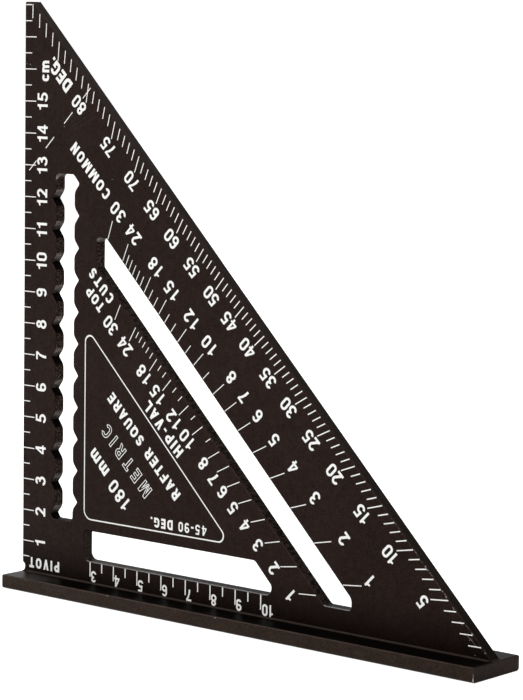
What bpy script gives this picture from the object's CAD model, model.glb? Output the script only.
"""A black anodised rafter square: a triangular blade standing on a fence, with white enamel marks.

The blade lies in the XZ plane with its reading face towards -Y (the front). Its long edge falls
from high on the left (x = 0) to the right end of the fence. Objects are placed in metres; the
materials work in millimetres.
"""
from functools import reduce

import bpy
from mathutils import Matrix, Vector


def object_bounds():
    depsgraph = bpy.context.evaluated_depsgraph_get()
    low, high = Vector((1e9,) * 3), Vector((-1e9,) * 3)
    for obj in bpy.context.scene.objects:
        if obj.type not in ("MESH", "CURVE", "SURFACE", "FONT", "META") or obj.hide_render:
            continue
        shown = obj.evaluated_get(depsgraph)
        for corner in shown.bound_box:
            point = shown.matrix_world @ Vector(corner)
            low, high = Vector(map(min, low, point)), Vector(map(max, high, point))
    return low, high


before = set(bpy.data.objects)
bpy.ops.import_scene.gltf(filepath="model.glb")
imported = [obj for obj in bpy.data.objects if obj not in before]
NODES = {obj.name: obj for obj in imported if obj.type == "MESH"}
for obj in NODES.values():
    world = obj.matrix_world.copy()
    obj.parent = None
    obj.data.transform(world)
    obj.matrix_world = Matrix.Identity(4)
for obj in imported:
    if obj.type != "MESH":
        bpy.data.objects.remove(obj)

CAD_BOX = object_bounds()
scene = bpy.context.scene


# --- shader helpers --------------------------------------------------------
class Field:
    """An output socket that can be used in sums. Each operator adds one math node."""

    def __init__(self, tree, socket):
        self.tree, self.socket = tree, socket

    def __add__(self, other): return self.tree.math("ADD", self, other)
    def __radd__(self, other): return self.tree.math("ADD", other, self)
    def __sub__(self, other): return self.tree.math("SUBTRACT", self, other)
    def __mul__(self, other): return self.tree.math("MULTIPLY", self, other)
    def __rmul__(self, other): return self.tree.math("MULTIPLY", other, self)
    def __truediv__(self, other): return self.tree.math("DIVIDE", self, other)
    def __abs__(self): return self.tree.math("ABSOLUTE", self)

    def ramp(self, start, end, low=0.0, high=1.0):
        """Smoothly from low at start to high at end. start may be above end."""
        inputs = dict(enumerate((self, start, end, low, high)))
        return self.tree.node("ShaderNodeMapRange", inputs, interpolation_type="SMOOTHSTEP")

    def swing(self, amount):
        """A noise centred on zero and scaled."""
        return (self - 0.5) * amount


class Tree:
    """The shader tree of a material or world. Fields and plain values can be mixed freely."""

    def __init__(self, owner):
        owner.use_nodes = True
        self.tree = owner.node_tree
        self.tree.nodes.clear()

    def put(self, socket, value):
        if isinstance(value, Field):
            self.tree.links.new(value.socket, socket)
            return
        if isinstance(value, (tuple, list)) and len(value) == 3 and socket.type == "RGBA":
            value = (*value, 1.0)
        socket.default_value = value

    def node(self, kind, inputs=None, out=0, **attrs):
        node = self.tree.nodes.new(kind)
        for key, value in attrs.items():
            setattr(node, key, value)
        for key, value in (inputs or {}).items():
            self.put(node.inputs[key], value)
        return Field(self, node.outputs[out])

    def output(self, kind, shader):
        self.put(self.tree.nodes.new(kind).inputs["Surface"], shader)

    def by_ray(self, reflected, seen):
        """One shader for the camera's own rays, another for all the rest."""
        is_camera = self.node("ShaderNodeLightPath", out="Is Camera Ray")
        return self.node("ShaderNodeMixShader", {0: is_camera, 1: reflected, 2: seen})

    def math(self, operation, *values, clamp=False):
        inputs = dict(enumerate(values))
        return self.node("ShaderNodeMath", inputs, operation=operation, use_clamp=clamp)

    def max(self, first, second): return self.math("MAXIMUM", first, second)

    def vector(self, operation, *values):
        out = "Value" if operation in ("DOT_PRODUCT", "LENGTH") else "Vector"
        inputs = dict(enumerate(values))
        return self.node("ShaderNodeVectorMath", inputs, out, operation=operation)

    def scaled(self, vector, scale):
        inputs = {0: vector, "Scale": scale}
        return self.node("ShaderNodeVectorMath", inputs, "Vector", operation="SCALE")

    def split(self, vector):
        socket = self.node("ShaderNodeSeparateXYZ", {0: vector}).socket
        return [Field(self, output) for output in socket.node.outputs]

    def join(self, x, y, z):
        return self.node("ShaderNodeCombineXYZ", {0: x, 1: y, 2: z})

    def grey(self, value): return self.join(value, value, value)

    def noise(self, place, scale=1.0, detail=2.0, rough=0.5, stretch=None, out="Fac"):
        if stretch is not None:
            place = self.vector("MULTIPLY", place, stretch)
        return self.node("ShaderNodeTexNoise", {
            "Vector": place, "Scale": scale, "Detail": detail, "Roughness": rough}, out)

    def mix(self, factor, first, second):
        return self.node("ShaderNodeMix", {0: factor, 2: first, 3: second}, data_type="FLOAT")

    def mix_colour(self, factor, first, second, blend="MIX"):
        return self.node("ShaderNodeMix", {0: factor, 6: first, 7: second}, 2,
                         data_type="RGBA", blend_type=blend)

    def bump(self, height, distance, strength, normal=None):
        inputs = {"Strength": strength, "Distance": distance, "Height": height}
        if normal is not None:
            inputs["Normal"] = normal
        return self.node("ShaderNodeBump", inputs)

    def place_mm(self):
        """Place on the object, in millimetres."""
        return self.scaled(self.node("ShaderNodeTexCoord", out="Object"), 1000.0)

    def facing(self):
        """True surface normal in the object's frame."""
        normal = self.node("ShaderNodeNewGeometry", out="True Normal")
        turned = self.node("ShaderNodeVectorTransform", {0: normal}, vector_type="NORMAL",
                           convert_from="WORLD", convert_to="OBJECT")
        return self.vector("NORMALIZE", turned)

    def stroke(self, place, start, end, half_width):
        """A mask for a thin line between two (x, z) places. place has y removed."""
        start = Vector((start[0], 0, start[1]))
        span = Vector((end[0], 0, end[1])) - start
        offset = self.vector("SUBTRACT", place, tuple(start))
        reach = self.vector("DOT_PRODUCT", offset, tuple(span))
        along = self.math("DIVIDE", reach, span.length_squared, clamp=True)
        nearest = self.scaled(tuple(span), along)
        distance = self.vector("LENGTH", self.vector("SUBTRACT", offset, nearest))
        width = self.mix(along, half_width, half_width * STROKE_TAPER)
        return (distance / width).ramp(1.0, 0.25) * STROKE_STRENGTH

    def strokes(self, place, lines):
        return reduce(self.max, (self.stroke(place, *line) for line in lines))


# --- black anodised aluminium: tuning --------------------------------------
STROKE_TAPER = 0.35     # width at a stroke's far end, over its width at the start
STROKE_STRENGTH = 1.0

# dye and tint: colour and reflection tint; sheen and rough: mean specular level and roughness
# lines and fine: noise stretch of the drawn lines, along Z on the blade and X on the fence
# line_tone, line_sheen, fine_height: how far those lines alter colour, specular and relief
LOOKS = {
    "blade": dict(seed=1.0, dye=(0.0044, 0.0027, 0.0022), tint=(1.0, 0.55, 0.45),
                  lines=(1.5, 1.5, 0.015), fine=(7.0, 7.0, 0.06), sheen=0.385, rough=0.50,
                  line_tone=0.15, line_sheen=0.25, fine_height=0.12),
    "fence": dict(seed=2.0, dye=(0.0066, 0.0042, 0.0029), tint=(1.0, 0.64, 0.47),
                  lines=(0.012, 2.6, 2.6), fine=(0.05, 9.0, 9.0), sheen=0.61, rough=0.42,
                  line_tone=0.35, line_sheen=0.5, fine_height=0.35),
}
END_TINT = (1.0, 0.50, 0.34)    # reflection tint of the fence's sawn ends

COLOURS = {
    "raw metal": (0.62, 0.61, 0.60), "rubbed bevel": (0.040, 0.035, 0.033),
    # walls of the blade's openings
    "wall": (0.0022, 0.0017, 0.0015), "wall blotch": (0.008, 0.007, 0.006),
    "slope streak": (0.125, 0.075, 0.062), "upright": (0.012, 0.0075, 0.0062),
    "upright speckle": (0.110, 0.080, 0.068), "pane streak": (0.040, 0.030, 0.024),
    "under streak": (0.060, 0.055, 0.052), "pale wall": (0.105, 0.086, 0.080),
    "pale streak": (0.235, 0.205, 0.192), "wall spot": (0.10, 0.095, 0.09),
    "sill": (0.215, 0.212, 0.212),
    # marks on the blade's broad faces
    "scratch": (0.42, 0.40, 0.38), "faint rub": (0.026, 0.022, 0.020),
    "hair": (0.024, 0.020, 0.018),
    # fence
    "ledge": (0.0016, 0.0012, 0.0011), "sawn end": (0.0060, 0.0036, 0.0026),
    "root fillet": (0.018, 0.014, 0.012),
}

# millimetres on the blade
LONG_EDGE_SUM = 183.75      # x + z along the middle of the long edge's bevel
FRONT_BEVEL_Y = -1.9
SILL_Z = 6.93               # front bevel at the foot of the window and the rafter slot
NOTCH_PITCH = 10.0          # notches up the scribing slot
# millimetres on the fence
CORNER_X, CORNER_Y = 184.0, -11.0
TOP_CHIPS_Y, LOW_CHIPS_Y = -10.85, -10.8

# ramp ranges of |normal y|: broad faces, not broad faces, out of the walls, into the walls
BROAD, NOT_BROAD = (0.9, 0.98), (0.97, 0.9)
OFF_WALL, ON_WALL = (0.35, 0.5), (0.35, 0.2)

# scratches on the broad faces: start (x, z), end (x, z), half width, in millimetres
SCRATCHES = [
    ((175.4, 6.0), (177.0, 4.9), 0.10), ((176.6, 5.2), (178.5, 3.9), 0.09),
    ((175.9, 4.9), (176.9, 5.6), 0.07), ((177.75, 1.15), (178.1, 0.95), 0.16),
    ((181.3, 2.8), (182.1, 1.9), 0.07), ((182.3, 1.7), (182.9, 0.8), 0.07),
    ((0.9, 161.7), (1.4, 161.6), 0.12), ((2.3, 161.5), (2.7, 161.3), 0.15),
    ((162.0, 21.9), (162.5, 21.2), 0.12), ((165.1, 18.6), (165.6, 18.0), 0.11),
    ((167.7, 15.6), (168.2, 15.0), 0.09), ((170.0, 13.4), (170.8, 12.6), 0.11),
    ((172.6, 9.9), (173.6, 8.9), 0.08), ((17.3, 142.3), (17.8, 142.6), 0.12),
    ((37.9, 126.9), (38.3, 127.1), 0.12),
]
# wider, barely visible rubs, in the same columns
FAINT_RUBS = [
    ((20.6, 142.4), (31.6, 148.2), 0.16), ((22.4, 141.9), (32.6, 146.9), 0.14),
    ((21.4, 144.4), (28.4, 148.8), 0.13), ((128.5, 42.5), (131.5, 44.6), 0.14),
    ((9.6, 86.5), (11.2, 93.0), 0.08), ((118.0, 18.0), (121.5, 24.0), 0.08),
]
# rubbed upper left corners of the tall slots: place, radius, strength
NICKS = [
    ((14.25, -1.85, 126.7), 0.85, 1.0), ((14.8, -1.4, 127.5), 1.1, 0.30),
    ((32.4, -1.2, 108.4), 1.5, 0.32),
]


class Skin(Tree):
    """Anodised skin. base, level (specular), rough and normal are altered layer by layer."""

    def __init__(self, kind):
        self.material = bpy.data.materials.new("anodised_" + kind)
        super().__init__(self.material)
        look = LOOKS[kind]
        seed = look["seed"]
        self.tint = look["tint"]
        self.place = self.place_mm()
        self.seeded = self.vector("ADD", self.place, (seed * 13.7, seed * 5.1, seed * 7.9))
        self.normal_x, normal_y, self.up = self.split(self.facing())
        self.broadside = abs(normal_y)
        self.xyz = self.split(self.place)

        # broad cloudiness of the dye, and the fine etched grain
        cloud = self.speckle(scale=0.035, detail=3.0, rough=0.55)
        patch = self.patch = self.speckle(scale=0.22, detail=3.0, rough=0.6)
        grain = self.speckle(scale=2.0, detail=3.0, rough=0.75)
        mottle = self.speckle(scale=0.55, rough=0.6)
        pores = self.speckle(scale=9.0, detail=1.0)
        lines = self.lines = self.speckle(detail=3.0, rough=0.6, stretch=look["lines"])
        fine = self.speckle(rough=0.6, stretch=look["fine"])

        # each swing is how far that noise moves the colour, then the specular level
        tone = cloud.swing(0.5) + patch.swing(0.25) + grain.swing(0.55)
        tone = tone + lines.swing(look["line_tone"])
        shade = self.join(tone + 1.0, tone + 1.0, tone + 1.0)
        self.base = self.mix_colour(1.0, look["dye"], shade, "MULTIPLY")
        vary = grain.swing(2.3) + mottle.swing(0.7) + (cloud.swing(0.5) + patch.swing(0.35))
        vary = vary + lines.swing(look["line_sheen"])
        self.level = look["sheen"] * self.max(1.0 + vary, 0.15)
        self.rough = look["rough"] + patch.swing(0.10) + grain.swing(0.10)
        height = grain * 0.5 + (pores * 0.3 + fine * look["fine_height"])
        self.normal = self.bump(height, distance=0.000010, strength=0.55)

    def speckle(self, **settings):
        return self.noise(self.seeded, **settings)

    def paint(self, mask, colour, strength=None):
        if strength is not None:
            mask = mask * strength
        self.base = self.mix_colour(mask, self.base, COLOURS[colour])

    def wear_bevels(self, bevel):
        """Thin, worn dye along the bevels."""
        rub = bevel * self.speckle(scale=0.35, detail=4.0, rough=0.7).ramp(0.42, 0.72)
        self.paint(rub, "rubbed bevel", strength=0.32)

    def emboss(self, height, distance, strength):
        self.normal = self.bump(height, distance, strength, self.normal)

    def finish(self, worn, tint):
        """Bare metal where worn, and the final shader."""
        shader = self.node("ShaderNodeBsdfPrincipled", {
            "Base Color": self.mix_colour(worn, self.base, COLOURS["raw metal"]),
            "Metallic": worn * 0.9, "Roughness": self.mix(worn, self.rough, 0.32),
            "IOR": 1.38, "Specular IOR Level": self.level, "Specular Tint": tint,
            "Normal": self.normal})
        self.output("ShaderNodeOutputMaterial", shader)
        return self.material


# --- blade -----------------------------------------------------------------
def mark_openings(skin):
    """Masks and noises shared by the walls of the blade's openings."""
    x, _, z = skin.xyz
    skin.wall = skin.broadside.ramp(*ON_WALL)
    # right of the left edge, and inside the long edge
    skin.opening = skin.wall * (x.ramp(8.0, 9.0) * (x + z).ramp(178.0, 177.0))
    skin.blot = skin.speckle(scale=0.75, detail=4.0, rough=0.72, stretch=(1.0, 1.6, 0.8))
    skin.streak = skin.speckle(detail=3.0, rough=0.75, stretch=(2.0, 0.5, 1.3))
    skin.scribe = skin.opening * x.ramp(27.0, 26.0)     # the notched slot on the left


def paint_openings(skin):
    """The openings are cut, so their walls are coarser and blotched."""
    x, _, z = skin.xyz
    up, opening, scribe, streak = skin.up, skin.opening, skin.scribe, skin.streak
    spots = skin.speckle(scale=2.3, detail=3.0, rough=0.7).ramp(0.60, 0.72)
    slope = up.ramp(0.15, 0.55) * up.ramp(0.97, 0.85)
    under = up.ramp(-0.45, -0.85)
    skin.paint(opening, "wall")
    skin.paint(opening * skin.blot.ramp(0.50, 0.75), "wall blotch")
    # the long slopes of the rafter slot are greyer and streaked
    rafter = x.ramp(26.0, 27.0, high=0.22)
    skin.paint(opening * slope * rafter * streak.ramp(0.42, 0.60), "slope streak")

    # upright walls are brown and speckled, except at the tips of the notches
    upright = opening * (up.ramp(-0.60, -0.25) * up.ramp(0.55, 0.20))
    turn = skin.math("FRACT", z * (1 / NOTCH_PITCH))
    half_turn = skin.math("FRACT", z * (1 / NOTCH_PITCH) + 0.5)
    tip = abs(half_turn - 0.5).ramp(0.035, 0.085)
    upright = upright * skin.mix(scribe, 1.0, tip)
    skin.paint(upright, "upright")
    speckles = skin.speckle(scale=2.0, detail=3.0, rough=0.75).ramp(0.48, 0.62)
    skin.paint(upright * speckles, "upright speckle")

    # the window's walls keep more of the dye's brown
    pane = opening * (z.ramp(17.4, 17.0) * x.ramp(26.0, 26.8))
    skin.paint(pane * x.ramp(60.0, 50.0) * streak.ramp(0.30, 0.62), "pane streak")
    skin.paint(opening * under * streak.ramp(0.40, 0.66), "under streak")

    # palest where the wall faces down above each notch and at the rafter slot's crown
    pale = scribe * up.ramp(-0.15, -0.42) * turn.ramp(0.06, 0.20, low=0.14)
    crown = opening * (x.ramp(27.0, 28.0) * x.ramp(34.5, 33.0) * z.ramp(105.0, 107.0))
    pale = skin.max(pale, crown * up.ramp(-0.10, -0.30))
    skin.paint(pale, "pale wall")
    skin.paint(pale * streak.ramp(0.40, 0.62), "pale streak")
    # spot strength: most walls 0.12; slopes 0.35, or 0.03 in the scribing slot
    spot_strength = skin.mix(slope, 0.12, skin.mix(scribe, 0.35, 0.03))
    skin.paint(opening * spots * spot_strength, "wall spot")


def dull_root(skin):
    """The skin is duller towards the root, where fingers and boards never rub it."""
    root = skin.xyz[2].ramp(0.5, 14.0, low=0.50)
    skin.level = skin.level * root
    skin.base = skin.mix_colour(1.0, skin.base, skin.grey(root), "MULTIPLY")


def dull_openings(skin):
    """The coarse walls send back less light than the faces."""
    up = skin.up
    level_wall = up.ramp(0.80, 0.97)
    dull = skin.mix(level_wall, up.ramp(-0.1, 0.5, low=0.12, high=0.20), 0.18)
    dull = dull * skin.streak.ramp(0.36, 0.64, low=0.35, high=1.65)
    dull = dull * skin.mix(skin.scribe * up.ramp(0.2, 0.5), 1.0, 0.35)
    skin.level = skin.level * skin.mix(skin.opening, 1.0, dull)


def streak_long_edge(skin):
    """Long streaks down the long edge."""
    x, y, z = skin.xyz
    edge = (x + z).ramp(180.5, 181.5) * skin.wall
    run_place = skin.join((x - z) * 0.045, y * 1.6, 3.0)
    run = skin.noise(run_place, detail=3.0, rough=0.65)
    streaks = run.ramp(0.32, 0.68, low=0.62, high=1.40)
    skin.level = skin.level * skin.mix(edge, 1.0, streaks)


def edge_glints(skin):
    """Small groups of bare metal along the low end of the long edge's front bevel."""
    x, y, z = skin.xyz
    from_edge = abs(x + z - LONG_EDGE_SUM)
    near = from_edge.ramp(0.34, 0.14) * abs(y + -FRONT_BEVEL_Y).ramp(0.20, 0.09)
    low = z.ramp(40.0, 24.0) * z.ramp(0.6, 1.6)
    groups = skin.speckle(scale=0.28, rough=0.6).ramp(0.47, 0.55)
    chips = skin.speckle(scale=1.7, rough=0.6).ramp(0.56, 0.63)
    return near * low * (chips * groups) * 0.45


def paint_sill(skin):
    """A grey line where the front bevel runs along the foot of the window and rafter slot."""
    x, _, z = skin.xyz
    line = abs(z - SILL_Z).ramp(0.34, 0.22) * skin.up.ramp(0.30, 0.55)
    sill = line * (x.ramp(27.0, 28.0) * skin.broadside.ramp(*OFF_WALL))
    skin.paint(sill * skin.streak.ramp(0.34, 0.60, low=0.55), "sill")


def add_nicks(skin, worn):
    for centre, radius, strength in NICKS:
        distance = skin.vector("LENGTH", skin.vector("SUBTRACT", skin.place, centre))
        rubbed = skin.speckle(scale=1.4, detail=3.0, rough=0.7).ramp(0.38, 0.60)
        nick = distance.ramp(radius, radius * 0.4) * rubbed
        worn = skin.max(worn, nick * strength * skin.broadside.ramp(*NOT_BROAD))
    return worn


def hairline(skin, angle, stretch):
    """Long thin noise, turned about Y by an angle in radians."""
    turned = skin.node("ShaderNodeVectorRotate", {"Vector": skin.seeded, "Angle": angle},
                       rotation_type="Y_AXIS")
    return skin.noise(turned, detail=1.0, stretch=stretch)


def scratch_faces(skin):
    """Scratches, rubs and hairlines on the broad faces. Gives back the scratch mask."""
    x, _, z = skin.xyz
    flat = skin.join(x, 0.0, z)
    colour = skin.noise(flat, scale=0.5, out="Color")
    wobble = skin.scaled(skin.vector("SUBTRACT", colour, (0.5, 0.5, 0.5)), 0.55)
    wavy = skin.vector("MULTIPLY", skin.vector("ADD", flat, wobble), (1.0, 0.0, 1.0))
    broken = skin.speckle(scale=1.7, rough=0.6).ramp(0.30, 0.50)
    scratches = skin.strokes(wavy, SCRATCHES) * broken * skin.broadside.ramp(*BROAD)

    falling = hairline(skin, angle=0.62, stretch=(5.0, 5.0, 0.045)).ramp(0.715, 0.76)
    rising = hairline(skin, angle=-0.95, stretch=(4.0, 4.0, 0.05)).ramp(0.725, 0.77)
    hairs = skin.max(falling, rising) * skin.broadside.ramp(*BROAD)
    hairs = hairs * skin.speckle(scale=0.06).ramp(0.45, 0.62)

    faint = skin.strokes(wavy, FAINT_RUBS) * skin.broadside.ramp(*BROAD)
    skin.paint(scratches, "scratch", strength=0.90)
    skin.paint(faint, "faint rub", strength=0.55)
    skin.paint(hairs, "hair", strength=0.30)
    skin.rough = skin.rough + hairs * 0.12
    return scratches


def blade_material():
    skin = Skin("blade")
    skin.wear_bevels(skin.broadside.ramp(*OFF_WALL) * skin.broadside.ramp(0.92, 0.8))
    mark_openings(skin)
    paint_openings(skin)
    dull_root(skin)
    dull_openings(skin)
    streak_long_edge(skin)
    skin.rough = skin.mix(skin.opening, skin.rough, 0.46 + skin.blot.swing(0.35))
    paint_sill(skin)
    worn = add_nicks(skin, edge_glints(skin))
    scratches = scratch_faces(skin)
    skin.emboss(skin.blot * skin.opening, distance=0.00022, strength=0.8)
    skin.emboss(scratches * -1.0, distance=0.00003, strength=0.6)
    return skin.finish(worn, skin.tint)


# --- fence -----------------------------------------------------------------
def fence_wear(skin):
    """Chips on the front right corner and along the front face's upper and lower edges."""
    x, y, z = skin.xyz
    # a thin bright line down the corner, widening into a knock at its foot
    reach = z.ramp(-2.6, -4.0, low=0.07, high=0.34)
    across = (abs(x - CORNER_X) / reach).ramp(1.0, 0.5)
    corner = across * (abs(y + -CORNER_Y) / reach).ramp(1.0, 0.5)
    corner = corner * z.ramp(-1.3, -2.2)
    chips = skin.max(skin.speckle(scale=1.3, rough=0.6).ramp(0.36, 0.52), z.ramp(-3.0, -3.5))
    top = abs(y + -TOP_CHIPS_Y).ramp(0.3, 0.15) * z.ramp(-0.6, -0.3)
    top = top * skin.speckle(scale=0.8, detail=3.0, rough=0.6).ramp(0.71, 0.75)
    low = abs(y + -LOW_CHIPS_Y).ramp(0.35, 0.15) * z.ramp(-3.2, -3.7)
    low = low * skin.speckle(scale=0.6, detail=3.0, rough=0.6).ramp(0.72, 0.77)
    return skin.max(corner * chips, skin.max(top, low))


def polish_ledges(skin):
    """Boards slide along the ledges, so they are a deeper black."""
    x, y, _ = skin.xyz
    ledge = skin.up.ramp(0.9, 0.98)
    skin.paint(ledge, "ledge", strength=0.85)
    skin.rough = skin.mix(ledge, skin.rough, 0.44 + skin.patch.swing(0.16))
    # brightest at the left end, with a little left on the back ledge
    sheen = skin.max(x.ramp(6.0, 22.0, low=0.38, high=0.014), y.ramp(1.0, 2.0, high=0.06))
    skin.level = skin.mix(ledge, skin.level, sheen)


def fence_material():
    skin = Skin("fence")
    _, y, z = skin.xyz
    endwise = abs(skin.normal_x)
    squareness = skin.max(skin.max(endwise, skin.broadside), abs(skin.up))
    skin.wear_bevels(squareness.ramp(0.97, 0.9))
    worn = fence_wear(skin)
    polish_ledges(skin)
    # the sawn ends are duller
    end = endwise.ramp(0.9, 0.98)
    skin.level = skin.level * skin.mix(end, 1.0, 0.50)
    skin.paint(end, "sawn end", strength=0.7)
    # the drawn root fillet is paler, with less sheen
    root = skin.broadside.ramp(0.30, 0.6) * abs(y).ramp(3.2, 2.8) * z.ramp(0.0, 0.12)
    skin.paint(root, "root fillet", strength=0.55)
    skin.level = skin.level * skin.mix(root, 1.0, 0.45)
    skin.emboss(skin.lines, distance=0.000025, strength=0.5)
    return skin.finish(worn, skin.mix_colour(end, skin.tint, END_TINT))


# --- white enamel wiped into the engraving ---------------------------------
ENAMEL_WHITE = (0.97, 0.965, 0.955)
ENAMEL_PIT = (0.10, 0.09, 0.085)
ENAMEL_GREY = (0.55, 0.54, 0.52)


def enamel_material(name, seed):
    material = bpy.data.materials.new(name)
    tree = Tree(material)
    place = tree.vector("ADD", tree.place_mm(), (seed * 3.3, seed * 9.7, seed * 6.1))
    broad = tree.noise(place, scale=0.12, detail=3.0, rough=0.6)
    fine = tree.noise(place, scale=1.9, detail=3.0, rough=0.65)
    grit = tree.noise(place, scale=6.5, rough=0.6)
    tone = 0.99 + (broad.swing(0.10) + fine.swing(0.12))
    shade = tree.join(tone, tone, tone * 0.99)
    colour = tree.mix_colour(1.0, ENAMEL_WHITE, shade, "MULTIPLY")
    # small pits where the enamel has worn thin and the dark metal shows
    pits = tree.noise(place, scale=3.4, rough=0.6).ramp(0.655, 0.71) * broad.ramp(0.42, 0.6)
    colour = tree.mix_colour(pits * 0.75, colour, ENAMEL_PIT)
    grey = tree.noise(place, scale=0.8).ramp(0.58, 0.78)
    colour = tree.mix_colour(grey * 0.22, colour, ENAMEL_GREY)
    shader = tree.node("ShaderNodeBsdfPrincipled", {
        "Base Color": colour, "Roughness": 0.52 + grit.swing(0.2), "IOR": 1.48,
        "Specular IOR Level": 0.4,
        "Normal": tree.bump(fine * 0.6 + grit * 0.4, distance=0.00003, strength=0.5)})
    tree.output("ShaderNodeOutputMaterial", shader)
    return material


METAL = {"blade": blade_material(), "fence": fence_material()}
for i, (name, piece) in enumerate(sorted(NODES.items())):
    material = METAL.get(name) or enamel_material("enamel_" + name, seed=1.0 + i)
    slots = piece.data.materials
    if slots:
        for k in range(len(slots)):
            slots[k] = material
    else:
        slots.append(material)


# --- floor, world, lights and camera ---------------------------------------
FLOOR_SIZE = 8.0
FLOOR_GAP = 0.00002
WHITE = (1, 1, 1, 1)


def floor_material():
    material = bpy.data.materials.new("pale_floor")
    tree = Tree(material)
    place = tree.place_mm()
    tone = 0.83 + tree.noise(place, scale=0.004).swing(0.02)
    plain = tree.node("ShaderNodeBsdfDiffuse", {"Color": tree.grey(tone)})
    # seen in the metal's reflections the floor darkens towards the back
    _, y, _ = tree.split(place)
    dim = tone * y.ramp(-320.0, 60.0, low=1.0, high=0.22)
    reflected = tree.node("ShaderNodeBsdfDiffuse", {"Color": tree.grey(dim)})
    glow = tree.node("ShaderNodeEmission", {"Color": WHITE, "Strength": 0.62})
    seen = tree.node("ShaderNodeAddShader", {0: plain, 1: glow})
    tree.output("ShaderNodeOutputMaterial", tree.by_ray(reflected, seen))
    return material


def build_world():
    world = bpy.data.worlds.new("studio")
    scene.world = world
    tree = Tree(world)
    x, y, z = tree.split(tree.node("ShaderNodeTexCoord", out="Generated"))
    # even light in front; behind, lit at the upper left, with a softer panel low on the right
    behind = (z * 0.9 - x).ramp(0.25, 0.80, low=0.04, high=0.98)
    behind = tree.max(behind, x.ramp(0.32, 0.60) * z.ramp(0.46, 0.28) * 0.22)
    light = tree.mix(y.ramp(-0.15, 0.30), 0.84, behind)
    light = light * z.ramp(0.25, 0.9, low=1.0, high=0.8)
    lit = tree.node("ShaderNodeBackground", {"Color": tree.grey(light), "Strength": 1.0})
    seen = tree.node("ShaderNodeBackground", {"Color": WHITE, "Strength": 1.05})
    tree.output("ShaderNodeOutputWorld", tree.by_ray(lit, seen))


def softbox(name, place, target, side, power):
    """A square area light aimed at target. Metres and watts."""
    light = bpy.data.lights.new(name, "AREA")
    light.shape = "RECTANGLE"
    light.size = light.size_y = side
    light.energy = power
    box = bpy.data.objects.new(name, light)
    scene.collection.objects.link(box)
    box.location = place
    box.rotation_mode = "QUATERNION"
    box.rotation_quaternion = (target - Vector(place)).to_track_quat("-Z", "Y")
    return box


def build_camera():
    data = bpy.data.cameras.new("camera")
    data.sensor_fit = "AUTO"
    data.sensor_width = 36.0
    data.lens = 136.30345887327152
    data.clip_start, data.clip_end = 0.01, 50.0
    camera = bpy.data.objects.new("camera", data)
    scene.collection.objects.link(camera)
    # columns: right, up, backward, place
    camera.matrix_world = Matrix((
        (0.763882311415071, -0.0858089913886646, 0.6396253835676229, 0.5964548741625044),
        (0.6451721106752077, 0.07790881930973975, -0.7600547108469626, -0.5933060508935714),
        (0.015387069703688028, 0.9932608080814538, 0.11487473706307866, 0.16903561583994164),
        (0, 0, 0, 1)))
    scene.camera = camera


low_corner, high_corner = CAD_BOX
bpy.ops.mesh.primitive_plane_add(size=FLOOR_SIZE, location=(0.1, 0.6, low_corner.z - FLOOR_GAP))
floor = bpy.context.object
floor.name = "floor"
floor.data.materials.append(floor_material())
build_world()

middle = (low_corner + high_corner) / 2
# lights the back's enamel without showing in the metal's reflections
rim = softbox("rim", place=(-0.45, 1.0, 0.6), target=middle, side=0.9, power=4.0)
rim.visible_glossy = False
softbox("key", place=(0.55, -0.75, 0.95), target=middle, side=0.8, power=4.6)
softbox("fill", place=(-0.6, -0.5, 0.8), target=middle, side=0.8, power=1.6)

build_camera()
scene.view_settings.view_transform = "Standard"
scene.view_settings.look = "None"
scene.view_settings.exposure = 0.0
scene.view_settings.gamma = 1.0
